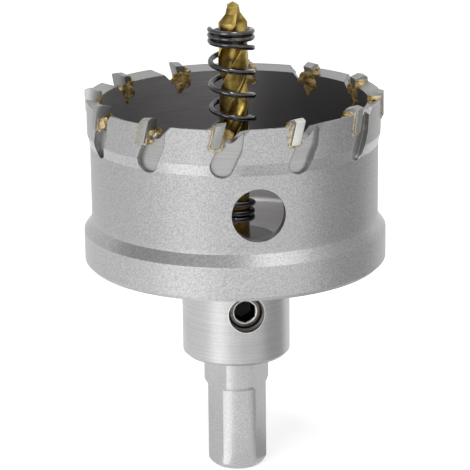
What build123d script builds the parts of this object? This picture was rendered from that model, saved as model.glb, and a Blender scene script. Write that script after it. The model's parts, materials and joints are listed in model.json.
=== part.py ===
"""Carbide-tipped hole saw: a turned cup with twelve brazed tips, an arbor, a pilot drill and its spring.

Frame: +Z is the axis of rotation, pointing from the shank to the teeth. The origin is the centre
of the shank's end face. An azimuth is counted from -Y towards +X, in degrees.
"""

import os
from math import acos, atan, cos, degrees, radians, sin, tan

from build123d import *

# Teeth
cutting_d = 60.0
side_clearance = 0.5
inner_clearance = 0.15
tooth_count = 12
first_rake_azimuth = -3.4
tip_width = 1.87
tip_drop = 3.7
tip_rise = 1.2
tip_lean = 14.6
tip_ridge_inset = 1.3
tip_outer_roof = 14.0
tip_inner_roof = 16.0
tip_back_relief = 7.0
tip_side_relief = 4.0

# Braze round each tip
braze_shoulder = 1.47
braze_gap = 0.4
braze_toe = 0.45
braze_bead = 0.3
braze_proud = 0.12

# Cup
rim_wall = 2.6
rim_bevel_drop = 1.0
band_height = 7.05
band_taper = 2.25
body_relief = 0.55
cup_depth = 29.4
floor_thickness = 4.5
floor_fillet = 1.0
collar_step = 1.6
collar_height = 6.95
collar_cone = 2.15
collar_chamfer = 0.85

# Gullet and flute beside each tip
gullet_r = 1.6
gullet_offset = 0.8
gullet_depth = 2.3
gullet_slope = 25.0
gullet_ramp = 42.0
flute_mill_r = 2.2
flute_cut = 1.3
flute_end_depth = 7.4
flute_end_offset = -0.7
flute_lean = 25.0
flute_knee_depth = 4.3
flute_rim_offset = 3.85

# Chip window
window_d = 10.5
window_depth = 17.2
window_azimuth = 9.2

# Arbor
boss_d = 22.0
boss_length = 20.1
boss_chamfer = 0.8
spigot_d = 16.0
spigot_clearance = 0.03
neck_d = 13.4
neck_length = 6.0
neck_cone = 1.0
shank_d = 12.0
shank_length = 17.4
shank_chamfer = 1.2
shoulder_r = 5.0
flat_distance = 5.4
flat_count = 3
flat_azimuth = 65.3

# Pilot drill
drill_d = 6.0
drill_reach = 18.9
drill_seat = 16.5
drill_clearance = 0.03
drill_end_chamfer = 0.4
point_d = 3.4
point_rise = 0.87
point_step = 1.45
shoulder_rise = 2.05
fluted_length = 34.0
runout_length = 5.0
twist_pitch = 30.0
twist_azimuth = 14.1
drill_flute_r = 2.1
drill_web = 1.6
land_relief = 0.12
margin_width = 0.7

# Ejector spring
wire_d = 1.1
spring_d = 9.54
spring_lift = 3.5
spring_reach = 13.4
open_pitch = 4.7
closed_pitch = 1.15
grip_pitch = 1.3
grip_turns = 2.1
release_turns = 0.75
release_rise = 4.0
top_turns = 2.25
grip_clearance = 0.03
step_rise = 3.0
spring_azimuth = 73.9
spring_lean = 0.6

# Set screw
screw_d = 7.4
screw_length = 6.0
screw_clearance = 0.05
screw_drop = 9.1
screw_azimuth = 12.0
screw_chamfer = 0.5
screw_flat_depth = 0.2
screw_flat_length = 9.0
screw_floor_gap = 0.2
socket_af = 4.0
socket_depth = 2.6

# How far a cut is carried past the surface that it leaves
cut_margin = 1.0

# Heights over the shank's end face, and radii
neck_bottom_z = shank_length + neck_cone
boss_bottom_z = neck_bottom_z + neck_length
collar_bottom_z = boss_bottom_z + boss_length
collar_top_z = collar_bottom_z + collar_height
floor_z = collar_bottom_z + floor_thickness
rim_z = floor_z + cup_depth
band_bottom_z = rim_z - band_height
screw_z = collar_bottom_z - screw_drop
drill_bottom_z = collar_bottom_z - drill_seat
drill_top_z = rim_z + drill_reach
cutting_r = cutting_d / 2
rim_r = cutting_r - side_clearance
body_r = rim_r - body_relief
bore_r = rim_r - rim_wall
tip_radial = side_clearance + rim_wall + inner_clearance
flute_floor_r = rim_r - flute_cut
collar_r = body_r + collar_step
spigot_r = spigot_d / 2
drill_r = drill_d / 2
wire_r = wire_d / 2


def outward(azimuth):
    """Unit vector from the axis towards an azimuth."""
    return Vector(sin(radians(azimuth)), -cos(radians(azimuth)), 0)


def around(azimuth):
    """Unit vector round the axis, the way the teeth cut."""
    return Vector(cos(radians(azimuth)), sin(radians(azimuth)), 0)


def facing_plane(azimuth, distance, height):
    """Plane that faces outwards at a distance from the axis, with local y up."""
    origin = outward(azimuth) * distance + Vector(0, 0, height)
    return Plane(origin=origin, x_dir=around(azimuth), z_dir=outward(azimuth))


def section_plane(azimuth, height):
    """Plane through the axis, with local x outwards and local y up."""
    return Plane(origin=(0, 0, height), x_dir=outward(azimuth), z_dir=-around(azimuth))


def rake_offset(height):
    """Place of the leaning rake face round the cup, at a height over the rim."""
    return height * tan(radians(tip_lean))


def tip_outline():
    """The tip and its pocket seen from outside, up to well over the rim."""
    top = tip_rise + cut_margin
    return [
        (rake_offset(-tip_drop), -tip_drop),
        (rake_offset(top), top),
        (rake_offset(top) - tip_width, top),
        (rake_offset(-tip_drop) - tip_width, -tip_drop),
    ]


def braze_outline():
    """The filler seen from outside: under the tip, behind it and at the foot of its rake face."""
    foot = -tip_drop - braze_toe
    back = rake_offset(-tip_drop) - tip_width
    return [
        (rake_offset(-braze_shoulder), -braze_shoulder),
        (rake_offset(-braze_shoulder), -tip_drop),
        (rake_offset(-tip_drop), foot),
        (back, foot),
        (back - braze_gap, -tip_drop),
        (rake_offset(braze_bead) - tip_width - braze_gap, braze_bead),
        (rake_offset(braze_bead) - tip_width / 2, braze_bead),
    ]


def build_tooth_cutter():
    """What is cut from the rim for the first tooth: tip pocket, gullet and flute."""
    with BuildPart() as cutter:
        with BuildSketch(facing_plane(first_rake_azimuth, bore_r - tip_radial, rim_z)):
            for outline in (tip_outline(), braze_outline()):
                with BuildLine():
                    Polyline(*outline, close=True)
                make_face()
        extrude(amount=3 * tip_radial)

        # The gullet has a round bottom that falls outwards, and a ramp on the side away from the tip.
        slope = radians(gullet_slope)
        centre_z = rim_z - gullet_depth + gullet_r / cos(slope)
        along = outward(first_rake_azimuth) * cos(slope) - Vector(0, 0, sin(slope))
        side = around(first_rake_azimuth)
        centre = outward(first_rake_azimuth) * bore_r + side * gullet_offset + Vector(0, 0, centre_z)
        ramp = radians(gullet_ramp)
        ramp_foot = Vector(sin(ramp), -cos(ramp)) * gullet_r
        ramp_top = ramp_foot + Vector(cos(ramp), sin(ramp)) * 2 * gullet_depth
        with BuildSketch(Plane(origin=centre - along * gullet_r, x_dir=side, z_dir=along)):
            Circle(gullet_r)
            with BuildLine():
                Polyline((-gullet_r, 0), ramp_foot, ramp_top, (-gullet_r, ramp_top.Y), close=True)
            make_face()
        extrude(amount=tip_radial + 2 * gullet_r)

        # The flute is flat-bottomed, from a round lower end up through the rim.
        lean = radians(flute_lean)
        end = Vector(flute_end_offset, -flute_end_depth)
        edge = Vector(cos(lean), -sin(lean)) * flute_mill_r
        knee_rise = -flute_knee_depth - (end + edge).Y
        knee = end + edge + Vector(knee_rise * tan(lean), knee_rise)
        left_rise = cut_margin - (end - edge).Y
        left_top = end - edge + Vector(left_rise * tan(lean), left_rise)
        with BuildSketch(facing_plane(first_rake_azimuth, flute_floor_r, rim_z)):
            with BuildLine():
                CenterArc(end, flute_mill_r, 180 - flute_lean, 180)
                Polyline(end + edge, knee, (flute_rim_offset, cut_margin), left_top, end - edge)
            make_face()
        extrude(amount=2 * flute_cut)
    return cutter.part


def build_cutter_body():
    tooth_cutter = build_tooth_cutter()
    with BuildPart() as cutter_body:
        with BuildSketch(Plane.XZ):
            with BuildLine():
                Polyline(
                    (spigot_r, collar_bottom_z),
                    (collar_r - collar_chamfer, collar_bottom_z),
                    (collar_r, collar_bottom_z + collar_chamfer),
                    (collar_r, collar_top_z),
                    (body_r, collar_top_z + collar_cone),
                    (body_r, band_bottom_z - band_taper),
                    (rim_r, band_bottom_z),
                    (rim_r, rim_z),
                    (bore_r, rim_z - rim_bevel_drop),
                    (bore_r, floor_z),
                    (spigot_r, floor_z),
                    close=True,
                )
            make_face()
        revolve(axis=Axis.Z)
        inner_floor = cutter_body.faces().filter_by(Plane.XY).sort_by(Axis.Z)[-1]
        fillet(inner_floor.outer_wire().edges(), floor_fillet)

        with BuildSketch(facing_plane(window_azimuth, 0, rim_z - window_depth)):
            Circle(window_d / 2)
        extrude(amount=cutting_r, mode=Mode.SUBTRACT)

        with PolarLocations(0, tooth_count):
            add(tooth_cutter, mode=Mode.SUBTRACT)
    cutter_body.part.label = "cutter_body"
    return cutter_body.part


def build_carbide_tip():
    rake = outward(first_rake_azimuth)
    side = around(first_rake_azimuth)
    outer = cutting_r
    inner = cutting_r - tip_radial
    narrowing = tip_width * tan(radians(tip_side_relief))
    foot = Vector(0, 0, rim_z - tip_drop) + side * rake_offset(-tip_drop)
    ridge_r = outer - tip_ridge_inset
    outer_fall = (outer + cut_margin - ridge_r) * tan(radians(tip_outer_roof))
    inner_fall = (ridge_r - inner + cut_margin) * tan(radians(tip_inner_roof))
    falling_back = side * cos(radians(tip_back_relief)) + Vector(0, 0, sin(radians(tip_back_relief)))
    with BuildPart() as tip:
        with BuildSketch(Plane.XY.offset(foot.Z)):
            with BuildLine():
                Polyline(
                    foot + rake * outer,
                    foot + rake * (outer - narrowing) - side * tip_width,
                    foot + rake * (inner + narrowing) - side * tip_width,
                    foot + rake * inner,
                    close=True,
                )
            make_face()
        leaning = side * sin(radians(tip_lean)) + Vector(0, 0, cos(radians(tip_lean)))
        extrude(amount=tip_drop + tip_rise + cut_margin, dir=leaning)
        with BuildSketch(section_plane(first_rake_azimuth, rim_z)):
            with BuildLine():
                Polyline(
                    (inner - cut_margin, -tip_drop - cut_margin),
                    (outer + cut_margin, -tip_drop - cut_margin),
                    (outer + cut_margin, tip_rise - outer_fall),
                    (ridge_r, tip_rise),
                    (inner - cut_margin, tip_rise - inner_fall),
                    close=True,
                )
            make_face()
        extrude(amount=3 * tip_width, dir=falling_back, both=True, mode=Mode.INTERSECT)
    return tip.part


def build_braze():
    with BuildPart() as braze:
        with BuildSketch(facing_plane(first_rake_azimuth, bore_r - braze_proud, rim_z)):
            with BuildLine():
                Polyline(*braze_outline(), close=True)
            make_face()
            with BuildLine():
                Polyline(*tip_outline(), close=True)
            make_face(mode=Mode.SUBTRACT)
        extrude(amount=rim_r - bore_r + 2 * braze_proud)
    return braze.part


def build_arbor():
    shank_r = shank_d / 2
    neck_r = neck_d / 2
    boss_r = boss_d / 2
    seat_r = drill_r + drill_clearance
    with BuildPart() as arbor:
        with BuildSketch(Plane.XZ):
            with BuildLine():
                Line((0, 0), (shank_r - shank_chamfer, 0))
                RadiusArc((shank_r - shank_chamfer, 0), (shank_r, shank_chamfer), -shoulder_r)
                Line((shank_r, shank_chamfer), (shank_r, shank_length))
                RadiusArc((shank_r, shank_length), (neck_r, neck_bottom_z), -shoulder_r)
                Polyline(
                    (neck_r, neck_bottom_z),
                    (neck_r, boss_bottom_z),
                    (boss_r - boss_chamfer, boss_bottom_z),
                    (boss_r, boss_bottom_z + boss_chamfer),
                    (boss_r, collar_bottom_z),
                    (spigot_r - spigot_clearance, collar_bottom_z),
                    (spigot_r - spigot_clearance, floor_z),
                    (seat_r, floor_z),
                    (seat_r, drill_bottom_z),
                    (0, drill_bottom_z),
                    (0, 0),
                )
            make_face()
        revolve(axis=Axis.Z)

        for i in range(flat_count):
            azimuth = flat_azimuth + 360 / flat_count * i
            with BuildSketch(facing_plane(azimuth, flat_distance, 0)):
                Rectangle(neck_d, boss_bottom_z, align=(Align.CENTER, Align.MIN))
            extrude(amount=neck_r, mode=Mode.SUBTRACT)

        hole_floor = drill_r - screw_flat_depth - screw_floor_gap
        with BuildSketch(facing_plane(screw_azimuth, hole_floor, screw_z)):
            Circle(screw_d / 2)
        extrude(amount=boss_r, mode=Mode.SUBTRACT)
    arbor.part.label = "arbor"
    return arbor.part


def build_pilot_drill():
    flute_bottom_z = drill_top_z - fluted_length
    flute_centre_r = drill_web / 2 + drill_flute_r
    reach = drill_r**2 + flute_centre_r**2 - drill_flute_r**2
    half_flute = degrees(acos(reach / (2 * drill_r * flute_centre_r)))
    lead = twist_azimuth - 90 - 360 * (rim_z - flute_bottom_z) / twist_pitch
    margin_angle = degrees(margin_width / 2 / drill_r)
    point_r = point_d / 2
    with BuildSketch() as margins:
        with PolarLocations(drill_r, 2, start_angle=lead - margin_angle):
            Rectangle(4 * land_relief, margin_width)
        Circle(drill_r, mode=Mode.INTERSECT)
    with BuildSketch(Plane.XY.offset(flute_bottom_z)) as section:
        Circle(drill_r - land_relief)
        add(margins.sketch)
        with PolarLocations(flute_centre_r, 2, start_angle=lead + half_flute):
            Circle(drill_flute_r, mode=Mode.SUBTRACT)
    twist = 360 * fluted_length / twist_pitch
    with BuildPart() as pilot_drill:
        add(
            Solid.extrude_linear_with_rotation(
                section.sketch.face(), (0, 0, flute_bottom_z), (0, 0, fluted_length), twist
            )
        )
        with BuildSketch(Plane.XZ):
            with BuildLine():
                Polyline(
                    (0, drill_bottom_z),
                    (drill_r - drill_end_chamfer, drill_bottom_z),
                    (drill_r, drill_bottom_z + drill_end_chamfer),
                    (drill_r, flute_bottom_z),
                    (drill_web / 2, flute_bottom_z + runout_length),
                    (0, flute_bottom_z + runout_length),
                    close=True,
                )
            make_face()
        revolve(axis=Axis.Z)
        with BuildSketch(Plane.XZ):
            with BuildLine():
                Polyline(
                    (0, drill_top_z),
                    (point_r, drill_top_z - point_rise),
                    (point_r, drill_top_z - point_rise - point_step),
                    (drill_r, drill_top_z - point_rise - point_step - shoulder_rise),
                    (drill_r + cut_margin, drill_top_z - point_rise - point_step - shoulder_rise),
                    (drill_r + cut_margin, drill_top_z + cut_margin),
                    (0, drill_top_z + cut_margin),
                    close=True,
                )
            make_face()
        revolve(axis=Axis.Z, mode=Mode.SUBTRACT)
        with BuildSketch(facing_plane(screw_azimuth, drill_r - screw_flat_depth, screw_z)):
            Rectangle(drill_d, screw_flat_length)
        extrude(amount=drill_r, mode=Mode.SUBTRACT)
    pilot_drill.part.label = "pilot_drill"
    return pilot_drill.part


def build_ejector_spring():
    grip_r = drill_r + grip_clearance + wire_r
    open_r = spring_d / 2 - wire_r
    start_z = floor_z + spring_lift
    end_z = rim_z + spring_reach
    grip_rise = grip_turns * grip_pitch
    open_bottom_z = start_z + grip_rise + step_rise
    open_rise = end_z - top_turns * closed_pitch - release_rise - open_bottom_z
    stretches = [
        (grip_turns, grip_rise, grip_r, grip_r),
        (1, step_rise, grip_r, open_r),
        (open_rise / open_pitch, open_rise, open_r, open_r),
        (release_turns, release_rise, open_r, open_r),
        (top_turns, top_turns * closed_pitch, open_r, open_r),
    ]
    turns_below_rim = (rim_z - open_bottom_z) / open_pitch + 1 + grip_turns
    azimuth = spring_azimuth + 360 * turns_below_rim
    z = start_z
    with BuildPart() as ejector_spring:
        with BuildLine() as coils:
            for turns, rise, start_r, end_r in stretches:
                widening = atan((end_r - start_r) / rise)
                coil = Helix(
                    rise / turns / cos(widening),
                    rise,
                    start_r,
                    cone_angle=degrees(widening),
                    lefthand=True,
                    mode=Mode.PRIVATE,
                )
                add(Pos(0, 0, z) * Rot(0, 0, azimuth - 90) * coil)
                azimuth -= 360 * turns
                z += rise
        wire = coils.wire()
        with BuildSketch(Plane(origin=wire @ 0, z_dir=wire % 0)):
            Circle(wire_r)
        sweep(path=wire, is_frenet=True)

    # Pushed by hand a little to the left, the open coils lean from where the first ones grip the drill.
    hinge = Axis((0, 0, start_z + grip_rise / 2), (0, 1, 0))
    leaning_spring = ejector_spring.part.rotate(hinge, -spring_lean)
    leaning_spring.label = "ejector_spring"
    return leaning_spring


def build_set_screw():
    tip_r = drill_r - screw_flat_depth
    with BuildPart() as set_screw:
        with BuildSketch(facing_plane(screw_azimuth, tip_r, screw_z)):
            Circle(screw_d / 2 - screw_clearance)
        extrude(amount=screw_length)
        chamfer(set_screw.edges().filter_by(GeomType.CIRCLE), screw_chamfer)
        with BuildSketch(facing_plane(screw_azimuth, tip_r + screw_length, screw_z)):
            RegularPolygon(socket_af / 2, 6, major_radius=False)
        extrude(amount=-socket_depth, mode=Mode.SUBTRACT)
    set_screw.part.label = "set_screw"
    return set_screw.part


os.makedirs("parts", exist_ok=True)
pieces = [build_cutter_body(), build_arbor(), build_pilot_drill(), build_ejector_spring(), build_set_screw()]
for name, first in (("carbide_tip", build_carbide_tip()), ("braze", build_braze())):
    for i in range(tooth_count):
        piece = first.rotate(Axis.Z, 360 / tooth_count * i)
        piece.label = f"{name}_{i + 1:02d}"
        pieces.append(piece)
for piece in pieces:
    export_step(piece, f"parts/{piece.label}.step")
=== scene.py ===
# %% [markdown]
# A carbide-tipped hole saw, dressed for its portrait.
#
# The frame holds the real construction: a turned cup, an arbor with three flats on its shank, a fluted
# pilot drill in a spring, a set screw, and twelve tips, each in its own braze. This script keeps all of
# that where it is. It adds what a machinist would notice up close: ground edges on the tips, lumpy
# filler round them, a real thread on the set screw, and a finish for every metal.

import json
from math import cos, degrees, radians, sin
from random import Random

import bpy
from mathutils import Matrix, Vector


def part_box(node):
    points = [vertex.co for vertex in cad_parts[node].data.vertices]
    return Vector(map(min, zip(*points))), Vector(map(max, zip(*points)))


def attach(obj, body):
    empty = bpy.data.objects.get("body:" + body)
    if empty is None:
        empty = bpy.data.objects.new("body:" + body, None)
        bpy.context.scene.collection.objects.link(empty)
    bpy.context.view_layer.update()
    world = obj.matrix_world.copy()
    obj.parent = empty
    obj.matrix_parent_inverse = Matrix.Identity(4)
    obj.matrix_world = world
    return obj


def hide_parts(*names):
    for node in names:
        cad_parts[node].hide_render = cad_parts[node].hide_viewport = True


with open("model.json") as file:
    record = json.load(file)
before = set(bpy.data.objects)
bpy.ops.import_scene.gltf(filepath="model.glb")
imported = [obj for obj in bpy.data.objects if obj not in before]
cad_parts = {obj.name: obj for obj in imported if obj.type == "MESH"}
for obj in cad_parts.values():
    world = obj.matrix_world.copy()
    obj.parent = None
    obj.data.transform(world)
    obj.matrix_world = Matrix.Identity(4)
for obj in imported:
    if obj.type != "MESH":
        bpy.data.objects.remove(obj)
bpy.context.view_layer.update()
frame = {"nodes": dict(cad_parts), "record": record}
nodes = frame["nodes"]

# %% [markdown]
# Everything is in metres, and most of it is a few millimetres across, so sizes are written as a number
# of mm. The tool's axis is Z. An azimuth is counted round it in degrees, from the side that faces the
# camera. The radii of the rim and the bore are those of the construction.

# %% Units, directions and sizes of the cup
mm = 0.001
up = Vector((0, 0, 1))


def outward(azimuth):
    """Straight away from the axis."""
    return Vector((sin(radians(azimuth)), -cos(radians(azimuth)), 0))


def around(azimuth):
    """Along the circle round the axis, towards larger azimuths."""
    return Vector((cos(radians(azimuth)), sin(radians(azimuth)), 0))


def raised(azimuth, elevation):
    """Away from the axis and up by an elevation in degrees."""
    return outward(azimuth) * cos(radians(elevation)) + up * sin(radians(elevation))


rim_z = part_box("cutter_body")[1].z
collar_bottom_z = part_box("cutter_body")[0].z
floor_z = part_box("arbor")[1].z
rim_r = 29.5 * mm
bore_r = 26.9 * mm
print("rim at", round(rim_z / mm, 2), "mm, collar's underside at", round(collar_bottom_z / mm, 2), "mm")

# %% [markdown]
# The camera comes first, because it decides which details have to be good. A small product is shot
# with a long lens from about half a metre: the verticals stay parallel, and the ellipses of the rim
# stay shallow. The camera looks along +Y and a little down, and it is rolled by less than a degree.

# %% Camera
camera_place = Vector((-0.04, -468.5, 186.8)) * mm
camera_down = 16.38
camera_roll = 0.643
camera_lens = 183.8
camera_sensor = 36

bpy.ops.object.select_all(action="DESELECT")
bpy.ops.object.camera_add(location=camera_place)
camera = bpy.context.object
camera.name = "camera"
camera.matrix_world = (
    Matrix.Translation(camera_place)
    @ Matrix.Rotation(radians(90 - camera_down), 4, "X")
    @ Matrix.Rotation(radians(-camera_roll), 4, "Z")
)
camera.data.lens = camera_lens
camera.data.sensor_width = camera_sensor
camera.data.clip_start = 0.01
camera.data.clip_end = 50
bpy.context.scene.camera = camera
bpy.context.scene.view_settings.view_transform = "Standard"
print("camera", round(camera_place.length / mm), "mm from the shank's foot")

# %% [markdown]
# A material is a small network of nodes. A few short helpers keep the cells readable: one adds a node
# and fills its sockets, two do a sum on numbers or vectors, one fades from 0 to 1 between two values,
# two blend colours or numbers by a mask, and the last tells what is seen or mirrored from the rest.

# %% Helpers for node networks
def add_node(tree, kind, sockets=None, **settings):
    """Add a node. A socket's value may be a plain value, or another node's output to link."""
    node = tree.nodes.new(kind)
    for key, value in settings.items():
        setattr(node, key, value)
    for key, value in (sockets or {}).items():
        if isinstance(value, bpy.types.NodeSocket):
            tree.links.new(value, node.inputs[key])
        else:
            node.inputs[key].default_value = value
    return node


def calculate(tree, operation, first, second=0.0, clamp=False):
    """A sum on one or two numbers."""
    sockets = {0: first, 1: second}
    return add_node(tree, "ShaderNodeMath", sockets, operation=operation, use_clamp=clamp).outputs[0]


def calculate_vector(tree, operation, first, second=(0, 0, 0)):
    """The same for vectors. A dot product or a length comes out as a number."""
    node = add_node(tree, "ShaderNodeVectorMath", {0: first, 1: second}, operation=operation)
    return node.outputs["Value" if operation in ("DOT_PRODUCT", "LENGTH") else "Vector"]


def fade(tree, value, start, end):
    """0 up to start, 1 from end on, and a smooth step between them."""
    sockets = {"Value": value, "From Min": start, "From Max": end}
    return add_node(tree, "ShaderNodeMapRange", sockets, interpolation_type="SMOOTHSTEP").outputs[0]


def mix_colours(tree, mask, first, second):
    """The first colour where the mask is 0 and the second where it is 1."""
    sockets = {0: mask}
    for key, value in ((6, first), (7, second)):
        sockets[key] = value if isinstance(value, bpy.types.NodeSocket) else (*value, 1)
    return add_node(tree, "ShaderNodeMix", sockets, data_type="RGBA").outputs[2]


def mix_numbers(tree, mask, first, second):
    """The same for numbers."""
    sockets = {0: mask, 2: first, 3: second}
    return add_node(tree, "ShaderNodeMix", sockets, data_type="FLOAT").outputs[0]


def seen_or_mirrored(tree):
    """1 for what is looked at directly, in a mirror or through glass, and 0 for ordinary light."""
    path = add_node(tree, "ShaderNodeLightPath")
    seen = calculate(tree, "MAXIMUM", path.outputs["Is Camera Ray"], path.outputs["Is Glossy Ray"])
    return calculate(tree, "MAXIMUM", seen, path.outputs["Is Transmission Ray"])


print("node helpers ready")

# %% [markdown]
# The floor is a plain pale sheet. It takes the tool's soft shadow by ordinary light, and the camera and
# the metal also see a little glow on it, so that it reads as white paper without more light on the
# tool. From below it is clear, so the underside of the tool can be looked at.

# %% Floor
floor_size = 6.0
floor_colour = (0.86, 0.86, 0.86, 1)
floor_glow = 0.58

bpy.ops.object.select_all(action="DESELECT")
bpy.ops.mesh.primitive_plane_add(size=floor_size, location=(0, 0, 0))
floor = bpy.context.object
floor.name = "floor"
paper = bpy.data.materials.new("floor_paper")
paper.use_nodes = True
tree = paper.node_tree
tree.nodes.clear()
strength = calculate(tree, "MULTIPLY", seen_or_mirrored(tree), floor_glow)
diffuse = add_node(tree, "ShaderNodeBsdfDiffuse", {"Color": floor_colour})
glow = add_node(tree, "ShaderNodeEmission", {"Strength": strength})
sheet = add_node(tree, "ShaderNodeAddShader", {0: diffuse.outputs[0], 1: glow.outputs[0]})
clear = add_node(tree, "ShaderNodeBsdfTransparent")
side = add_node(tree, "ShaderNodeNewGeometry")
both_sides = {0: side.outputs["Backfacing"], 1: sheet.outputs[0], 2: clear.outputs[0]}
both_sides = add_node(tree, "ShaderNodeMixShader", both_sides)
add_node(tree, "ShaderNodeOutputMaterial", {"Surface": both_sides.outputs[0]})
floor.data.materials.append(paper)
print("floor", floor_size, "m wide")

# %% [markdown]
# Metal shows its surroundings more than its own colour, so the room matters. The tool stands in white
# paper, which the camera and the metal both see at full white. Ordinary light from the room is much
# weaker than that, so nothing is washed out.

# %% World
room_level = 0.40
paper_level = 1.0

world = bpy.data.worlds.new("studio")
bpy.context.scene.world = world
world.use_nodes = True
tree = world.node_tree
tree.nodes.clear()
level = mix_numbers(tree, seen_or_mirrored(tree), room_level, paper_level)
room = add_node(tree, "ShaderNodeBackground", {"Color": (1, 1, 1, 1), "Strength": level})
add_node(tree, "ShaderNodeOutputWorld", {"Surface": room.outputs[0]})
print("world ready")

# %% [markdown]
# White all round would make the cup look flat. A photographer lays cards beside a shiny object, just
# outside the picture, and the metal draws them as bands that show how round it is. A card counts only
# in reflections here, so its brightness is set outright: below 1 it is darker than the white room, and
# above 1 it is a silvered card that throws a lamp's light back.

# %% Helpers for reflection cards
def add_card(name, corners, level):
    """A flat card through four corners, which only reflections see."""
    bpy.ops.object.select_all(action="DESELECT")
    bpy.ops.mesh.primitive_plane_add(size=mm, location=(0, 0, 0))
    card = bpy.context.object
    card.name = name
    for vertex, corner in zip(card.data.vertices, corners):
        vertex.co = corner
    surface = bpy.data.materials.new(name)
    surface.use_nodes = True
    tree = surface.node_tree
    tree.nodes.clear()
    shine = add_node(tree, "ShaderNodeEmission", {"Strength": level})
    add_node(tree, "ShaderNodeOutputMaterial", {"Surface": shine.outputs[0]})
    card.data.materials.append(surface)
    card.visible_camera = False
    card.visible_diffuse = False
    card.visible_shadow = False
    card.visible_transmission = False
    return card


def wedge(start, end, near, far):
    """Four corners on the floor between two azimuths and two distances from the axis."""
    lift = up * mm
    return [outward(azimuth) * distance + lift for distance in (near, far) for azimuth in (start, end)]


def hanging(azimuth, elevation, distance, width, height):
    """Four corners of a card that hangs over the tool and faces it."""
    direction = raised(azimuth, elevation)
    across = around(azimuth) * width / 2
    along = direction.cross(around(azimuth)) * height / 2
    centre = direction * distance
    return [centre + i * across + j * along for j in (-1, 1) for i in (-1, 1)]


print("card helpers ready")

# %% [markdown]
# A dim card stands on the right, and its foot reaches over the floor to the shank, which mirrors it. In
# front of it lies a nearly black mat, for the upper taper, which looks steeply down. A bright sheet
# begins at the outer edge of the mat, for the wall. On the left, a silvered strip on the floor gives
# the bright line along the boss and the shank. Two flags hang overhead and darken the left and the
# front of the collar's cone.

# %% Reflection cards
dim_start, dim_end, dim_near, dim_far = 58, 117, 0.0066, 0.13
dim_height = 0.13
dim_level = 0.58
mat_start, mat_end, mat_near, mat_far = 4, 57, 0.084, 0.124
mat_level = 0.02
strip_start, strip_end, strip_near, strip_far = -52, -20, 0.0066, 0.20
strip_level = 2.1
sheet_start, sheet_end, sheet_near, sheet_far = 4, 54, 0.118, 0.32
sheet_level = 1.9
flag_distance = 0.35
# For each flag: azimuth, elevation, width, height and level.
flags = {
    "left_flag": (-76, 46, 0.34, 0.22, 0.50),
    "front_flag": (-20, 58, 0.20, 0.20, 0.50),
}

dim_foot = wedge(dim_start, dim_end, dim_near, dim_far)
dim_wall = dim_foot[2:] + [corner + up * dim_height for corner in dim_foot[2:]]
cards = [
    add_card("dim_foot", dim_foot, dim_level),
    add_card("dim_wall", dim_wall, dim_level),
    add_card("dim_mat", wedge(mat_start, mat_end, mat_near, mat_far), mat_level),
    add_card("silver_strip", wedge(strip_start, strip_end, strip_near, strip_far), strip_level),
    add_card("white_sheet", wedge(sheet_start, sheet_end, sheet_near, sheet_far), sheet_level),
]
for name, (azimuth, elevation, width, height, level) in flags.items():
    corners = hanging(azimuth, elevation, flag_distance, width, height)
    cards.append(add_card(name, corners, level))
print("cards:", [card.name for card in cards])

# %% [markdown]
# Three lamps. A big softbox at the left front is the main light. A wide one, high on the right, lights
# the right of the cone. A narrow strip light hangs almost overhead and draws the small white glints
# along the spring's wire.

# %% Softboxes
target = Vector((0, 0, 55 * mm))
lamp_distance = 0.9
# For each lamp: azimuth, elevation, width, height and power.
lamps = {
    "key_softbox": (-31, 24, 0.45, 0.8, 3.2),
    "front_softbox": (46, 54, 0.50, 0.22, 0.55),
    "strip_light": (50, 77, 0.24, 0.09, 1.9),
}


def add_softbox(name, azimuth, elevation, width, height, power):
    """A rectangular lamp that hangs at an azimuth and elevation round the tool and faces it."""
    direction = raised(azimuth, elevation)
    bpy.ops.object.select_all(action="DESELECT")
    bpy.ops.object.light_add(type="AREA", location=target + direction * lamp_distance)
    lamp = bpy.context.object
    lamp.name = name
    lamp.rotation_euler = direction.to_track_quat("Z", "Y").to_euler()
    lamp.data.shape = "RECTANGLE"
    lamp.data.size = width
    lamp.data.size_y = height
    lamp.data.energy = power
    return lamp


softboxes = [add_softbox(name, *values) for name, values in lamps.items()]
print("softboxes:", [lamp.name for lamp in softboxes])

# %% [markdown]
# Each finish below reads Object coordinates. Every piece lies at the origin, so these are the real
# places on the tool in metres. The radius from the axis tells one surface of a turned piece from
# another, as it does for the turner.

# %% Helpers for places on the tool
def object_place(tree):
    return add_node(tree, "ShaderNodeTexCoord").outputs["Object"]


def height_of(tree, place):
    return add_node(tree, "ShaderNodeSeparateXYZ", {0: place}).outputs["Z"]


def face_direction(tree):
    """The way the surface looks, before any edge is rounded over."""
    return add_node(tree, "ShaderNodeNewGeometry").outputs["Normal"]


def distance_from_axis(tree, place):
    return calculate_vector(tree, "LENGTH", calculate_vector(tree, "MULTIPLY", place, (1, 1, 0)))


def direction_from_axis(tree, place):
    return calculate_vector(tree, "NORMALIZE", calculate_vector(tree, "MULTIPLY", place, (1, 1, 0)))


def fade_by_side(tree, radial, azimuth, start, end):
    """Fade by the cosine of the angle between a place's side of the tool and an azimuth."""
    return fade(tree, calculate_vector(tree, "DOT_PRODUCT", radial, outward(azimuth)), start, end)


def between(tree, value, low, high):
    """1 between two values and 0 outside them."""
    above = calculate(tree, "GREATER_THAN", value, low)
    return calculate(tree, "MULTIPLY", calculate(tree, "LESS_THAN", value, high), above)


print("place helpers ready")

# %% [markdown]
# The surface itself is made of grain, of lathe marks and of edges. A pattern of scale 1000 has cells of
# about a millimetre.

# %% Helpers for finishes
def new_finish(name, metallic):
    material = bpy.data.materials.new(name)
    material.use_nodes = True
    shader = material.node_tree.nodes["Principled BSDF"]
    shader.inputs["Metallic"].default_value = metallic
    return material, material.node_tree, shader


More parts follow.
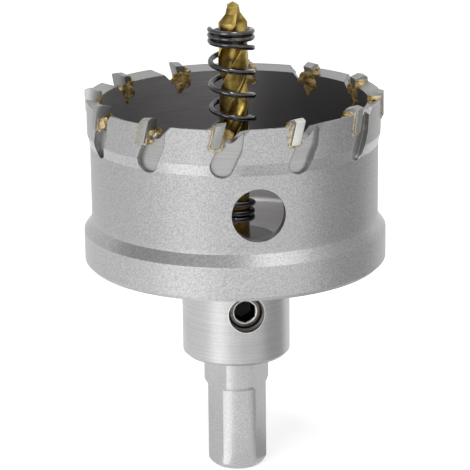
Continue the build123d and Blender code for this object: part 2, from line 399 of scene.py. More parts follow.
def connect(tree, shader, colour, rough, surface):
    """Wire a colour, a roughness and a surface direction to the shader."""
    for name, value in (("Base Color", colour), ("Roughness", rough), ("Normal", surface)):
        tree.links.new(value, shader.inputs[name])


def shade(colour, factor):
    return tuple(factor * channel for channel in colour)


def stretched(tree, place, scale):
    """A place scaled along each direction, so that a pattern on it is drawn out."""
    return add_node(tree, "ShaderNodeMapping", {"Vector": place, "Scale": scale}).outputs[0]


def grain(tree, place, scale=1, detail=2.0, roughness=0.5):
    """Random grain from about 0.3 to 0.7, with cells of 1 / scale metres."""
    sockets = {"Vector": place, "Scale": scale, "Detail": detail, "Roughness": roughness}
    return add_node(tree, "ShaderNodeTexNoise", sockets).outputs["Fac"]


def lathe_marks(tree, place, along, across, detail=2.0):
    """Grain drawn out into rings round the axis: stacked by height on a wall, by radius on a face."""
    radius = add_node(tree, "ShaderNodeCombineXYZ", {"Z": distance_from_axis(tree, place)}).outputs[0]
    shifted = calculate_vector(tree, "ADD", place, radius)
    return grain(tree, stretched(tree, shifted, (along, along, across)), detail=detail)


def relief(tree, height, depth, strength=1.0, normal=None):
    """Tilt the surface as a pattern of some depth would, on top of an earlier direction."""
    sockets = {"Height": height, "Distance": depth, "Strength": strength}
    if normal:
        sockets["Normal"] = normal
    return add_node(tree, "ShaderNodeBump", sockets).outputs[0]


def soft_edges(tree, radius):
    """The surface's direction with each sharp edge rounded over, as tumbling and handling leave it."""
    return add_node(tree, "ShaderNodeBevel", {"Radius": radius}, samples=4).outputs[0]


def edge_mask(tree, rounded, start=0.995, end=0.93):
    """1 where the rounded direction leaves the flat one, so along the edges."""
    same = calculate_vector(tree, "DOT_PRODUCT", face_direction(tree), rounded)
    return fade(tree, same, start, end)


print("finish helpers ready")

# %% [markdown]
# The cup. Outside it was blasted with fine beads after turning, so it is an even satin grey with a
# salt-and-pepper grain. The upper taper, the cone and the collar were turned again and are a little
# brighter. The gullets and flutes were ground, so their floor is smoother. Along the edges near the
# rim runs a thin line of painted shade, which turns into a painted highlight on the edges that face the
# right. Inside is a dark grey scale with faint lines from the boring bar. Painted shade darkens it on
# the right, and it turns lighter towards the floor. One material finds each zone by its radius, its
# height and the way it faces, because all of them belong to the same piece of steel.

# %% Zones of the cup
bore_margin = 0.06 * mm
floor_margin = 0.05 * mm
# A surface deeper than this under the rim's radius, or tilted from it past this cosine, was ground.
flute_depth = 0.62 * mm
straight_out = 0.99
# Counted down from the rim.
gullet_reach = 6.9 * mm
taper_start, taper_end = 7.05 * mm, 9.30 * mm
# Where the lines of painted shade and highlight run along the edges.
edge_line_start, edge_line_end = 9.5 * mm, 11 * mm
# Counted up from the collar's underside.
cone_start, cone_end = 6.95 * mm, 9.10 * mm
turned_start, turned_end = 8.5 * mm, 10.5 * mm
# Counted up from the floor.
# Where the inner wall turns lighter towards the floor.
lighter_start, lighter_end = 2 * mm, 11 * mm


def find_cup_zones(tree, place, height, radial):
    """Masks for the inside, for what was ground, for both tapers and for the turned collar."""
    radius = distance_from_axis(tree, place)
    facing = calculate_vector(tree, "DOT_PRODUCT", face_direction(tree), radial)
    in_bore = calculate(tree, "LESS_THAN", radius, bore_r + bore_margin)
    over_floor = calculate(tree, "GREATER_THAN", height, floor_z - floor_margin)
    inside = calculate(tree, "MULTIPLY", in_bore, over_floor)

    near_rim = calculate(tree, "GREATER_THAN", height, rim_z - gullet_reach)
    turned_away = calculate(tree, "LESS_THAN", facing, straight_out)
    cut_at_rim = calculate(tree, "MULTIPLY", near_rim, turned_away)
    cut_deep = calculate(tree, "LESS_THAN", radius, rim_r - flute_depth)
    cut_deep = calculate(tree, "MULTIPLY", cut_deep, over_floor)
    cut = calculate(tree, "MAXIMUM", cut_at_rim, cut_deep)
    ground = calculate(tree, "SUBTRACT", cut, inside, clamp=True)

    taper = between(tree, height, rim_z - taper_end, rim_z - taper_start)
    cone = between(tree, height, collar_bottom_z + cone_start, collar_bottom_z + cone_end)
    tapers = calculate(tree, "MAXIMUM", taper, cone)
    turned = fade(tree, height, collar_bottom_z + turned_end, collar_bottom_z + turned_start)
    return inside, ground, tapers, turned


print("cup zones ready")

# %% Cup finish
blasted_grey = (0.355, 0.355, 0.357)
turned_grey = (0.395, 0.395, 0.397)
ground_grey = (0.345, 0.345, 0.343)
# Painted shade for thin lines along the edges near the rim, and a painted highlight for those edges on
# the right.
edge_shade_grey = (0.07, 0.07, 0.065)
edge_highlight_grey = (0.62, 0.62, 0.62)
scale_grey = (0.305, 0.295, 0.303)
floor_grey = (0.52, 0.51, 0.52)
# The side whose edges get the painted highlight.
highlight_azimuth = 62.0
# The side where the inner wall gets painted shade, and how dark that shade is.
shaded_azimuth = 110.0
painted_shade_factor = 0.37


def colour_outside(tree, place, salt, lines, ground, bright_zone):
    """Blasted steel, brighter where it was turned again, and ground in the gullets and flutes."""
    cloud = calculate(tree, "MULTIPLY", grain(tree, place, scale=160), 0.5)
    blasted = mix_colours(tree, salt, shade(blasted_grey, 0.74), shade(blasted_grey, 1.26))
    blasted = mix_colours(tree, cloud, blasted, blasted_grey)
    bright = mix_colours(tree, salt, shade(turned_grey, 0.80), shade(turned_grey, 1.20))
    blasted = mix_colours(tree, bright_zone, blasted, bright)
    streaks = fade(tree, lines, 0.3, 0.7)
    polished = mix_colours(tree, streaks, shade(ground_grey, 0.88), ground_grey)
    return mix_colours(tree, ground, blasted, polished)


def colour_inside(tree, place, height, radial):
    """Scale with the boring bar's lines, with painted shade on one side, and lighter towards the floor.
    """
    bored = fade(tree, lathe_marks(tree, place, along=120, across=5200, detail=3.0), 0.35, 0.65)
    scaled = mix_colours(tree, bored, scale_grey, shade(scale_grey, 1.18))
    # Painted shade on the inner wall towards one side.
    away_from_shade = fade_by_side(tree, radial, shaded_azimuth, 0.65, 0.1)
    scaled = mix_colours(tree, away_from_shade, shade(scale_grey, painted_shade_factor), scaled)
    lighter = mix_colours(tree, bored, floor_grey, shade(floor_grey, 1.2))
    low = fade(tree, height, floor_z + lighter_end, floor_z + lighter_start)
    return mix_colours(tree, low, scaled, lighter)


def find_edge_lines(tree, place, height):
    """A mask for broken bits of painted shade and highlight along the edges near the rim."""
    edge = edge_mask(tree, soft_edges(tree, 0.26 * mm), start=0.998, end=0.965)
    edge = calculate(tree, "MULTIPLY", edge, fade(tree, height, rim_z - edge_line_end, rim_z - edge_line_start))
    return calculate(tree, "MULTIPLY", edge, fade(tree, grain(tree, place, scale=900), 0.25, 0.45))


def make_cup_finish():
    material, tree, shader = new_finish("cup_steel", 1.0)
    place = object_place(tree)
    height = height_of(tree, place)
    radial = direction_from_axis(tree, place)
    inside, ground, tapers, turned = find_cup_zones(tree, place, height, radial)
    speckle = grain(tree, place, scale=3300, detail=1.5, roughness=0.65)
    salt = fade(tree, speckle, 0.28, 0.72)
    lines = lathe_marks(tree, place, along=60, across=5200)

    bright_zone = calculate(tree, "MAXIMUM", tapers, turned)
    colour = colour_outside(tree, place, salt, lines, ground, bright_zone)
    colour = mix_colours(tree, inside, colour, colour_inside(tree, place, height, radial))
    # Painted shade along the edges near the rim, turning into a painted highlight on the edges that
    # face the right.
    highlight_side = fade_by_side(tree, radial, highlight_azimuth, 0.82, 0.97)
    edge_colour = mix_colours(tree, highlight_side, edge_shade_grey, edge_highlight_grey)
    edge_lines = calculate(tree, "MULTIPLY", find_edge_lines(tree, place, height), 0.9)
    colour = mix_colours(tree, edge_lines, colour, edge_colour)

    rough = mix_numbers(tree, salt, 0.40, 0.50)
    for zone, zone_rough in ((tapers, 0.32), (ground, 0.34), (inside, 0.52)):
        rough = mix_numbers(tree, zone, rough, zone_rough)

    rings = calculate(tree, "MULTIPLY", lines, mix_numbers(tree, turned, 0.15, 0.8))
    speckle_strength = mix_numbers(tree, tapers, 0.7, 0.3)
    rounded = soft_edges(tree, 0.11 * mm)
    surface = relief(tree, speckle, 0.012 * mm, strength=speckle_strength, normal=rounded)
    surface = relief(tree, rings, 0.010 * mm, strength=0.8, normal=surface)
    connect(tree, shader, colour, rough, surface)
    return material


cup_finish = make_cup_finish()
print("made", cup_finish.name)

# %% [markdown]
# The set screw's hole crosses the boss. Its place is needed three times: for the finish of the arbor,
# for that of the screw, and for the threads.

# %% The set screw's hole
screw_azimuth = 12.0
screw_axis = outward(screw_azimuth)
screw_place = (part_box("set_screw")[0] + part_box("set_screw")[1]) / 2
screw_hole_r = 3.7 * mm
screw_top = 8.8 * mm
socket_mouth_r = 2.36 * mm


def distance_from_screw(tree, place):
    """The distance from the hole's own axis."""
    from_screw = calculate_vector(tree, "SUBTRACT", place, Vector((0, 0, screw_place.z)))
    across = calculate_vector(tree, "CROSS_PRODUCT", from_screw, screw_axis)
    return calculate_vector(tree, "LENGTH", across)


def distance_along_screw(tree, place):
    """The distance outwards from the tool's axis, along the hole."""
    return calculate_vector(tree, "DOT_PRODUCT", place, screw_axis)


print("screw at", round(screw_place.z / mm, 2), "mm")

# %% [markdown]
# The arbor is turned and left as it came off the lathe: fine rings on the boss, a finer satin on the
# shank. The same material goes darker inside the hole for the set screw, and the arbor's edges and the
# hole's mouth get a thin painted highlight. The darkening and the mouth's highlight are kept to the
# half of the boss that the hole opens on.

# %% Arbor finish
boss_bottom_z = 24.4 * mm
steel_grey = (0.44, 0.44, 0.442)
# A painted highlight for the edges and for the mouth of the screw's hole.
arbor_edge_highlight = (0.80, 0.80, 0.79)
# Darker inside the screw's hole.
hole_grey = (0.24, 0.215, 0.20)
mouth_start, mouth_end = 0.12 * mm, 0.20 * mm
mouth_highlight_strength = 0.7


def make_arbor_finish():
    material, tree, shader = new_finish("arbor_steel", 1.0)
    place = object_place(tree)
    from_screw = distance_from_screw(tree, place)
    in_front = calculate(tree, "GREATER_THAN", distance_along_screw(tree, place), 0.0)
    in_hole = fade(tree, from_screw, screw_hole_r + 0.02 * mm, screw_hole_r - 0.02 * mm)
    in_hole = calculate(tree, "MULTIPLY", in_hole, in_front)
    # A painted highlight round the hole's mouth.
    mouth_highlight = fade(tree, from_screw, screw_hole_r + mouth_end, screw_hole_r + mouth_start)
    mouth_highlight = calculate(tree, "MULTIPLY", mouth_highlight, calculate(tree, "MULTIPLY", in_front, mouth_highlight_strength))

    height = height_of(tree, place)
    on_boss = fade(tree, height, boss_bottom_z - 0.2 * mm, boss_bottom_z + 0.2 * mm)
    rings = lathe_marks(tree, place, along=50, across=6500, detail=3.0)
    wide_rings = lathe_marks(tree, place, along=30, across=1500, detail=1.0)
    smudge = grain(tree, place, scale=130, detail=3.0)
    speckle = grain(tree, place, scale=3600, detail=1.5, roughness=0.65)
    marks = mix_numbers(tree, calculate(tree, "MULTIPLY", on_boss, 0.6), speckle, rings)

    streaks = fade(tree, marks, 0.3, 0.7)
    colour = mix_colours(tree, streaks, shade(steel_grey, 0.84), shade(steel_grey, 1.12))
    colour = mix_colours(tree, fade(tree, smudge, 0.5, 0.9), colour, shade(steel_grey, 0.85))
    rounded = soft_edges(tree, 0.14 * mm)
    # Painted highlight along the edges and round the hole's mouth.
    edge = calculate(tree, "MULTIPLY", edge_mask(tree, rounded, start=0.99, end=0.90), 0.8)
    colour = mix_colours(tree, calculate(tree, "MAXIMUM", edge, mouth_highlight), colour, arbor_edge_highlight)
    colour = mix_colours(tree, in_hole, colour, hole_grey)

    rough = mix_numbers(tree, on_boss, 0.31, 0.33)
    rough = mix_numbers(tree, fade(tree, marks, 0.35, 0.65), rough, 0.40)
    surface = relief(tree, marks, 0.006 * mm, strength=0.7, normal=rounded)
    ring_relief = calculate(tree, "MULTIPLY", wide_rings, on_boss)
    surface = relief(tree, ring_relief, 0.010 * mm, strength=0.7, normal=surface)
    connect(tree, shader, colour, rough, surface)
    return material


arbor_finish = make_arbor_finish()
print("made", arbor_finish.name)

# %% [markdown]
# The pilot drill has a hard gold coating over ground steel. The coating is thin, so the grinding marks
# still show through it, and its colour drifts between yellow gold and brown where it is thicker.

# %% Drill finish
bright_gold = (0.45, 0.325, 0.09)
brown_gold = (0.135, 0.085, 0.02)
# A painted highlight along the drill's edges.
gold_edge_highlight = (0.82, 0.67, 0.32)


def make_drill_finish():
    material, tree, shader = new_finish("drill_coating", 1.0)
    place = object_place(tree)
    marks = grain(tree, stretched(tree, place, (700, 700, 5200)), detail=3.0)
    drift = grain(tree, place, scale=260, detail=3.0)
    blotch = grain(tree, place, scale=1100)
    colour = mix_colours(tree, fade(tree, drift, 0.38, 0.62), brown_gold, bright_gold)
    spots = calculate(tree, "MULTIPLY", fade(tree, blotch, 0.55, 0.75), 0.45)
    colour = mix_colours(tree, spots, colour, brown_gold)
    rounded = soft_edges(tree, 0.09 * mm)
    # Painted highlight along the edges.
    edge = calculate(tree, "MULTIPLY", edge_mask(tree, rounded), 0.7)
    colour = mix_colours(tree, edge, colour, gold_edge_highlight)
    rough = mix_numbers(tree, marks, 0.22, 0.38)
    surface = relief(tree, marks, 0.008 * mm, strength=0.6, normal=rounded)
    connect(tree, shader, colour, rough, surface)
    return material


drill_finish = make_drill_finish()
print("made", drill_finish.name)

# %% [markdown]
# The spring is music wire with a glossy dark skin, a touch greyer in patches where things have rubbed
# it. The small screw is blackened in hot salts, which leaves it matt and a little brown. Its corners
# and the mouth of its socket get a painted highlight, and deep in the socket sits a painted shade.

# %% Black finishes
wire_black = (0.082, 0.082, 0.086)
wire_rubbed = (0.155, 0.155, 0.16)
oxide_black = (0.10, 0.092, 0.085)
oxide_brown = (0.19, 0.175, 0.16)
# A painted highlight for the screw's corners and its socket's mouth.
screw_edge_highlight = (0.80, 0.78, 0.75)
# Painted shade deep in the socket.
socket_shade_black = (0.012, 0.012, 0.012)
socket_reach = 2.7 * mm


def make_wire_finish():
    material, tree, shader = new_finish("spring_wire", 1.0)
    place = object_place(tree)
    fine = grain(tree, place, scale=2600)
    rubbed = fade(tree, grain(tree, place, scale=420, detail=3.0), 0.5, 0.75)
    colour = mix_colours(tree, rubbed, wire_black, wire_rubbed)
    rough = mix_numbers(tree, fine, 0.08, 0.18)
    connect(tree, shader, colour, rough, relief(tree, fine, 0.004 * mm, strength=0.4))
    return material


def make_screw_finish():
    material, tree, shader = new_finish("screw_black", 0.9)
    place = object_place(tree)
    from_screw = distance_from_screw(tree, place)
    along_screw = distance_along_screw(tree, place)
    fine = grain(tree, place, scale=3000, detail=3.0)
    colour = mix_colours(tree, fade(tree, fine, 0.35, 0.7), oxide_black, oxide_brown)
    # Painted highlight on the corners and round the socket's mouth.
    corners = edge_mask(tree, soft_edges(tree, 0.08 * mm))
    mouth_highlight = fade(tree, from_screw, socket_mouth_r + 0.16 * mm, socket_mouth_r + 0.08 * mm)
    for highlighted in (corners, mouth_highlight):
        colour = mix_colours(tree, calculate(tree, "MULTIPLY", highlighted, 0.9), colour, screw_edge_highlight)
    # Painted shade deep in the socket.
    deep = fade(tree, along_screw, screw_top - 0.08 * mm, screw_top - 0.3 * mm)
    in_socket = calculate(tree, "LESS_THAN", from_screw, socket_reach)
    in_socket = calculate(tree, "MULTIPLY", deep, in_socket)
    colour = mix_colours(tree, in_socket, colour, socket_shade_black)
    rough = mix_numbers(tree, fine, 0.32, 0.55)
    connect(tree, shader, colour, rough, relief(tree, fine, 0.008 * mm, strength=0.6))
    return material


wire_finish = make_wire_finish()
screw_finish = make_screw_finish()
print("made", wire_finish.name, screw_finish.name)

# %% [markdown]
# Carbide is ground with a diamond wheel, which leaves very fine scratches, and its corners get a
# painted highlight. The rake face and the inner face keep a darker sintered skin, and one tip has a
# lighter rake face. Two tips are given a tone of their own, one darker and one lighter than the rest.

# %% Carbide finish
dull_carbide = (0.20, 0.20, 0.19)
bright_carbide = (0.63, 0.63, 0.59)
# A painted highlight for the tip's corners.
carbide_edge_highlight = (0.68, 0.68, 0.67)
sintered_grey = (0.12, 0.12, 0.125)
rake_grey = (0.24, 0.24, 0.245)
lighter_rake = (0.46, 0.46, 0.455)
lighter_rake_azimuth = -93.4
usual_tone = 0.17
scratch_tone = 0.18
# The azimuth of a tip and its own tone.
tip_tones = [(-3.4, 0.0), (26.6, 0.75)]


def make_carbide_finish():
    material, tree, shader = new_finish("carbide", 0.9)
    place = object_place(tree)
    radial = direction_from_axis(tree, place)
    scratches = grain(tree, stretched(tree, place, (1500, 1500, 9000)), detail=3.0)
    tone = usual_tone
    for azimuth, value in tip_tones:
        tone = mix_numbers(tree, fade_by_side(tree, radial, azimuth, 0.94, 0.98), tone, value)
    scratched = calculate(tree, "MULTIPLY", fade(tree, scratches, 0.3, 0.7), scratch_tone)
    tone = calculate(tree, "ADD", tone, scratched)
    colour = mix_colours(tree, tone, dull_carbide, bright_carbide)

    faces = face_direction(tree)
    along = calculate_vector(tree, "CROSS_PRODUCT", up, radial)
    rake = calculate(tree, "ABSOLUTE", calculate_vector(tree, "DOT_PRODUCT", faces, along))
    inner = calculate_vector(tree, "DOT_PRODUCT", faces, radial)
    lighter = fade_by_side(tree, radial, lighter_rake_azimuth, 0.90, 0.98)
    skin = mix_colours(tree, lighter, rake_grey, lighter_rake)
    colour = mix_colours(tree, fade(tree, rake, 0.5, 0.8), colour, skin)
    colour = mix_colours(tree, fade(tree, inner, -0.5, -0.8), colour, sintered_grey)
    # Painted highlight along the tip's corners.
    edge = edge_mask(tree, soft_edges(tree, 0.06 * mm))
    colour = mix_colours(tree, calculate(tree, "MULTIPLY", edge, 0.6), colour, carbide_edge_highlight)
    rough = mix_numbers(tree, scratches, 0.42, 0.54)
    connect(tree, shader, colour, rough, relief(tree, scratches, 0.006 * mm, strength=0.6))
    return material


carbide_finish = make_carbide_finish()
print("made", carbide_finish.name)

# %% [markdown]
# The braze ran while it was red hot. The drip down the inside of the wall is a deep gold, the heap in
# the gullet a paler one, and the halo outside is greyer. Where the flux has burnt on it is brown, and
# the filler is pitted all over. The radius tells the three apart.

# %% Braze finish
# A dull and a clean colour for each place.
drip_golds = (0.18, 0.115, 0.03), (0.40, 0.29, 0.105)
heap_golds = (0.36, 0.26, 0.11), (0.62, 0.50, 0.27)
halo_golds = (0.27, 0.215, 0.13), (0.46, 0.405, 0.30)
burnt_brown = (0.075, 0.05, 0.025)
pit_gold = (0.54, 0.48, 0.34)
drip_end, heap_start = bore_r + 0.4 * mm, bore_r + 0.9 * mm
heap_end, halo_start = rim_r - 0.7 * mm, rim_r - 0.2 * mm


def make_braze_finish():
    material, tree, shader = new_finish("braze", 0.65)
    place = object_place(tree)
    radius = distance_from_axis(tree, place)
    patches = grain(tree, place, scale=900, detail=4.0, roughness=0.6)
    burnt = grain(tree, place, scale=520, detail=3.0)
    pits = grain(tree, place, scale=3800)
    patchy = fade(tree, patches, 0.38, 0.62)
    drip = mix_colours(tree, patchy, *drip_golds)
    heap = mix_colours(tree, patchy, *heap_golds)
    halo = mix_colours(tree, patchy, *halo_golds)
    colour = mix_colours(tree, fade(tree, radius, drip_end, heap_start), drip, heap)
    colour = mix_colours(tree, fade(tree, burnt, 0.54, 0.70), colour, burnt_brown)
    colour = mix_colours(tree, fade(tree, radius, heap_end, halo_start), colour, halo)
    colour = mix_colours(tree, fade(tree, pits, 0.62, 0.74), colour, pit_gold)
    rough = mix_numbers(tree, patches, 0.34, 0.62)
    connect(tree, shader, colour, rough, relief(tree, pits, 0.05 * mm, strength=0.7))
    return material


braze_finish = make_braze_finish()
print("made", braze_finish.name)

# %% [markdown]
# The record names a material slot for every node of the frame, and each slot has its finish.

# %% Give every node of the frame its finish
finishes = {
    "cup_steel": cup_finish,
    "arbor_steel": arbor_finish,
    "drill_coating": drill_finish,
    "spring_wire": wire_finish,
    "screw_black": screw_finish,
    "carbide": carbide_finish,
    "braze": braze_finish,
}
slot_of = {row["node"]: row["material_slot"] for row in frame["record"]["subparts"]}
for name, node in nodes.items():
    node.data.materials.clear()
    node.data.materials.append(finishes[slot_of[name]])
print("dressed", len(slot_of), "nodes")

# %% [markdown]
# New pieces come next. All of them ride on the tool's only body. A modifier is applied as soon as it
# is added, so each finished piece is a plain mesh with its place in its vertices.

# %% Helpers for pieces
def select_only(obj):
    bpy.ops.object.select_all(action="DESELECT")
    obj.select_set(True)
    bpy.context.view_layer.objects.active = obj


def settle():
    """Move the place, turn and scale of what is selected into its vertices."""
    bpy.ops.object.transform_apply(location=True, rotation=True, scale=True)
    return bpy.context.object


def modify(obj, kind, **settings):
    """Add a modifier, set it up and apply it."""
    select_only(obj)
    modifier = obj.modifiers.new(kind.lower(), kind)
    for key, value in settings.items():
        setattr(modifier, key, value)
    bpy.ops.object.modifier_apply(modifier=modifier.name)


def merged_copy(node_name, name):
    """A copy of a node's mesh whose loose triangles are joined into flat faces again."""
    copy = bpy.data.objects.new(name, nodes[node_name].data.copy())
    bpy.context.collection.objects.link(copy)
    copy.data.materials.clear()
    select_only(copy)
    bpy.ops.object.mode_set(mode="EDIT")
    bpy.ops.mesh.select_all(action="SELECT")
    bpy.ops.mesh.remove_doubles(threshold=0.002 * mm)
    bpy.ops.mesh.normals_make_consistent(inside=False)
    bpy.ops.mesh.dissolve_limited(angle_limit=radians(1.5))
    bpy.ops.object.mode_set(mode="OBJECT")
    return copy


def fit_out(obj, slot, *replaced):
    """Give a finished piece the material of its slot and its body, and hide the nodes that it replaces.
    """
    obj.data.materials.clear()
    obj.data.materials.append(finishes[slot])
    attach(obj, "root")
    if replaced:
        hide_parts(*replaced)


def join(pieces, name):
    select_only(pieces[0])
    for piece in pieces:
        piece.select_set(True)
    bpy.ops.object.join()
    joined = settle()
    joined.name = name
    joined.data.name = name
    return joined


print("piece helpers ready")

# %% [markdown]
# The tips. The construction has them with knife-sharp corners, which never catch the light. A diamond
# wheel leaves a tiny flat on every edge, so each tip is copied, its triangles are merged, and its edges
# get a bevel of less than a tenth of a millimetre.

# %% Ground tips
tooth_count = 12
edge_flat = 0.07 * mm

for i in range(1, tooth_count + 1):
    tip = merged_copy(f"carbide_tip_{i:02d}", f"ground_tip_{i:02d}")
    modify(tip, "BEVEL", width=edge_flat, segments=2, limit_method="ANGLE", angle_limit=radians(20))
    select_only(tip)
    bpy.ops.object.shade_smooth_by_angle(angle=radians(35))
    fit_out(tip, "carbide", f"carbide_tip_{i:02d}")
print("tip faces:", len(tip.data.polygons))

# %% [markdown]
# The filler. Molten solder creeps out of the joint: a drip down the inside of the wall, a bead on the
# rim behind the tip, a lumpy heap in the gullet at the foot of the rake face, and a thin halo round the
# pocket outside. Each blob starts as a sphere squashed against its surface. All blobs and the plain
# braze are melted together by a voxel remesh, and a cloud texture then makes the skin uneven. Every
# tooth draws its own sizes, because no two joints flow alike.
#
# The places are counted in mm from the rake face's foot line at the rim: along the cut, out from the
# axis and up. Each has three radii in the same directions.

# %% Places of the filler
first_rake_azimuth = -3.4
inside_blobs = [
    ((-0.9, 26.86, -1.7), (2.15, 0.20, 1.15)),
    ((-1.8, 26.86, -2.5), (1.7, 0.24, 1.2)),
    ((0.1, 26.86, -2.3), (1.3, 0.22, 0.9)),
    ((-1.1, 26.86, -3.7), (1.05, 0.24, 1.1)),
    ((-1.0, 26.86, -4.7), (0.55, 0.18, 0.75)),
]
rim_blobs = [
    ((-2.45, 28.3, -0.42), (0.85, 1.15, 0.25)),
    ((-2.8, 27.5, -0.75), (1.10, 0.7, 0.27)),
]
gullet_blobs = [
    ((-0.42, 28.0, -2.3), (0.50, 1.15, 0.75)),
    ((-0.62, 28.8, -3.1), (0.50, 0.65, 0.80)),
    ((-0.30, 28.3, -3.5), (0.60, 0.60, 0.35)),
    ((-0.95, 28.9, -3.95), (0.50, 0.50, 0.42)),
]


def draw_halo(draw):
    """Thin blobs down the slanted side of the pocket, and along its foot."""
    outside, side, slant, foot_height = 29.47, -1.95, 0.2, -4.05
    blobs = []
    for z in [-0.4, -0.8, -1.2, -1.6, -2.0, -2.4, -2.8, -3.2, -3.6, -4.0]:
        place = (side + slant * z - draw.uniform(0.0, 0.5), outside, z)
        blobs.append((place, (draw.uniform(0.25, 0.6), 0.15, draw.uniform(0.2, 0.45))))
    for along in [-2.5, -2.0, -1.5, -1.0]:
        blobs.append(((along, outside, foot_height), (0.4, 0.14, draw.uniform(0.15, 0.35))))
    return blobs


print("blobs inside, on the rim and in a gullet:", len(inside_blobs + rim_blobs + gullet_blobs))

# %% Filler round the tips
first_seed = 700
blob_spread = 0.16
smallest, largest = 0.75, 1.25
skin_grain = 0.75 * mm
skin_swell = 0.22 * mm
melt_voxel = 0.085 * mm

skin = bpy.data.textures.new("filler_skin", "CLOUDS")
skin.noise_scale = skin_grain
skin.noise_depth = 2


def add_blob(azimuth, place, radii):
    """A squashed sphere at a place beside the tooth, in mm along the cut, outwards and up."""
    turn = azimuth + degrees(place[0] * mm / rim_r)
    bpy.ops.object.select_all(action="DESELECT")
    bpy.ops.mesh.primitive_uv_sphere_add(
        segments=20,
        ring_count=10,
        radius=mm,
        location=outward(turn) * place[1] * mm + up * (rim_z + place[2] * mm),
        rotation=(0, 0, radians(turn)),
        scale=radii,
    )
    return bpy.context.object


def make_filler(i):
    draw = Random(first_seed + i)
    azimuth = first_rake_azimuth + 360 / tooth_count * (i - 1)
    parts = [merged_copy(f"braze_{i:02d}", f"filler_{i:02d}")]
    halo = draw_halo(draw)
    for (along, out, height), radii in inside_blobs + rim_blobs + gullet_blobs + halo:
        # Three draws, of which the second isn't used: a blob stays on its own surface.
        shift = [draw.uniform(-blob_spread, blob_spread) for _ in radii]
        shifted = (along + shift[0], out, height + shift[2])
        sized = [value * draw.uniform(smallest, largest) for value in radii]
        parts.append(add_blob(azimuth, shifted, sized))
    filler = join(parts, f"filler_{i:02d}")
    modify(filler, "REMESH", mode="VOXEL", voxel_size=melt_voxel)
    modify(filler, "SMOOTH", factor=0.5, iterations=3)
    modify(filler, "DISPLACE", texture=skin, strength=skin_swell, mid_level=0.5, texture_coords="LOCAL")
    select_only(filler)
    bpy.ops.object.shade_smooth()
    return filler


for i in range(1, tooth_count + 1):
    filler = make_filler(i)
    fit_out(filler, "braze", f"braze_{i:02d}")
print("filler faces:", len(filler.data.polygons))

# %% [markdown]
# The set screw. It is an M8 grub screw, so it has a thread of 1.25 mm pitch, a hexagon socket and a
# chamfer that the thread runs out on. A thread is a ridge swept along a helix, which is what the Screw
# modifier does. The hole gets the same ridge, turned inwards, because the screw sits well below the
# mouth of the hole.

# %% Thread ridge
thread_pitch = 1.25 * mm
steps_per_turn = 64


def sweep_ridge(name, base_r, crest_r, start, turns):
    """A helical ridge round local Z from a base radius to a crest radius, closed at both ends."""
    base_half = 0.46 * thread_pitch
    crest_half = 0.08 * thread_pitch
    corners = [(base_r, -base_half), (crest_r, -crest_half), (crest_r, crest_half), (base_r, base_half)]
    bpy.ops.object.select_all(action="DESELECT")
    bpy.ops.mesh.primitive_circle_add(vertices=len(corners), radius=mm, location=(0, 0, 0))
    ridge = bpy.context.object
    ridge.name = name
    for vertex, (r, z) in zip(ridge.data.vertices, corners):
        vertex.co = (r, 0, start + z)
    modify(
        ridge,
        "SCREW",
        axis="Z",
        angle=radians(360 * turns),
        screw_offset=thread_pitch * turns,
        steps=int(steps_per_turn * turns),
        render_steps=int(steps_per_turn * turns),
        use_merge_vertices=False,
    )
    select_only(ridge)
    bpy.ops.object.mode_set(mode="EDIT")
    bpy.ops.mesh.select_mode(type="EDGE")
    bpy.ops.mesh.select_all(action="DESELECT")
    bpy.ops.mesh.select_non_manifold(extend=False)
    bpy.ops.mesh.fill_holes(sides=len(corners))
    bpy.ops.mesh.select_all(action="SELECT")
    bpy.ops.mesh.normals_make_consistent(inside=False)
    bpy.ops.object.mode_set(mode="OBJECT")
    return ridge


def turn_into_hole(obj):
    """Lay a piece that was made round Z along the screw's hole, with local Z pointing outwards."""
    laid = screw_axis.to_track_quat("Z", "Y").to_matrix().to_4x4()
    obj.matrix_world = Matrix.Translation((0, 0, screw_place.z)) @ laid
    select_only(obj)
    settle()


print("thread helpers ready")

# %% [markdown]
# The screw's core is a bevelled cylinder. A hexagonal prism cuts the socket, and a cone of 45 degrees
# opens its mouth. The cone is hung so that it is as wide as the mouth at the top of the screw.

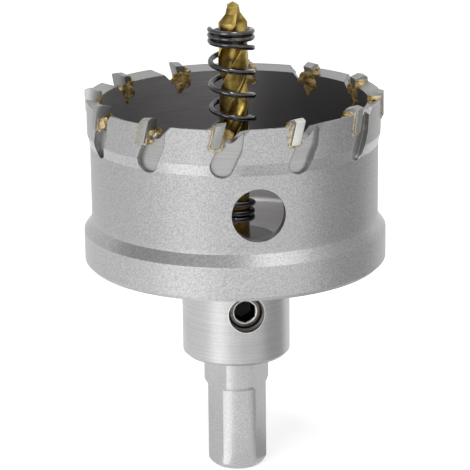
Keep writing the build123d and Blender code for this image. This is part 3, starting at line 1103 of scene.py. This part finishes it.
# %% Core of the set screw
screw_bottom = 2.8 * mm
core_r = 3.28 * mm
socket_af = 4.0 * mm
socket_depth = 4.0 * mm
countersink_r = 3.0 * mm
countersink_z = screw_top + (countersink_r / 2 - socket_mouth_r)
outer_chamfer = 0.22 * mm
worn_corner = 0.06 * mm


def cut_away(obj, cutter):
    modify(obj, "BOOLEAN", operation="DIFFERENCE", object=cutter, solver="EXACT")
    bpy.data.objects.remove(cutter)


bpy.ops.object.select_all(action="DESELECT")
bpy.ops.mesh.primitive_cylinder_add(
    vertices=96,
    radius=core_r,
    depth=screw_top - screw_bottom,
    location=(0, 0, (screw_top + screw_bottom) / 2),
)
core = settle()
modify(core, "BEVEL", width=outer_chamfer, segments=1, limit_method="ANGLE", angle_limit=radians(60))
bpy.ops.object.select_all(action="DESELECT")
bpy.ops.mesh.primitive_cylinder_add(
    vertices=6,
    radius=socket_af / 2 / cos(radians(30)),
    depth=2 * socket_depth,
    location=(0, 0, screw_top),
)
cut_away(core, settle())
bpy.ops.object.select_all(action="DESELECT")
bpy.ops.mesh.primitive_cone_add(
    vertices=96, radius1=0, radius2=countersink_r, depth=countersink_r, location=(0, 0, countersink_z)
)
cut_away(core, settle())
modify(core, "BEVEL", width=worn_corner, segments=2, limit_method="ANGLE", angle_limit=radians(30))
print("core faces:", len(core.data.polygons))

# %% Set screw and the thread in its hole
screw_thread = sweep_ridge(
    "screw_thread",
    base_r=core_r - 0.1 * mm,
    crest_r=screw_hole_r - 0.08 * mm,
    start=screw_bottom + 1.2 * mm,
    turns=3.4,
)
screw = join([core, screw_thread], "threaded_set_screw")
turn_into_hole(screw)
bpy.ops.object.shade_smooth_by_angle(angle=radians(30))
fit_out(screw, "screw_black", "set_screw")

hole_thread = sweep_ridge(
    "hole_thread",
    base_r=screw_hole_r + 0.04 * mm,
    crest_r=screw_hole_r - 0.36 * mm,
    start=8.2 * mm,
    turns=1.35,
)
turn_into_hole(hole_thread)
bpy.ops.object.shade_smooth_by_angle(angle=radians(30))
fit_out(hole_thread, "arbor_steel")
print("screw faces:", len(screw.data.polygons), "hole thread faces:", len(hole_thread.data.polygons))
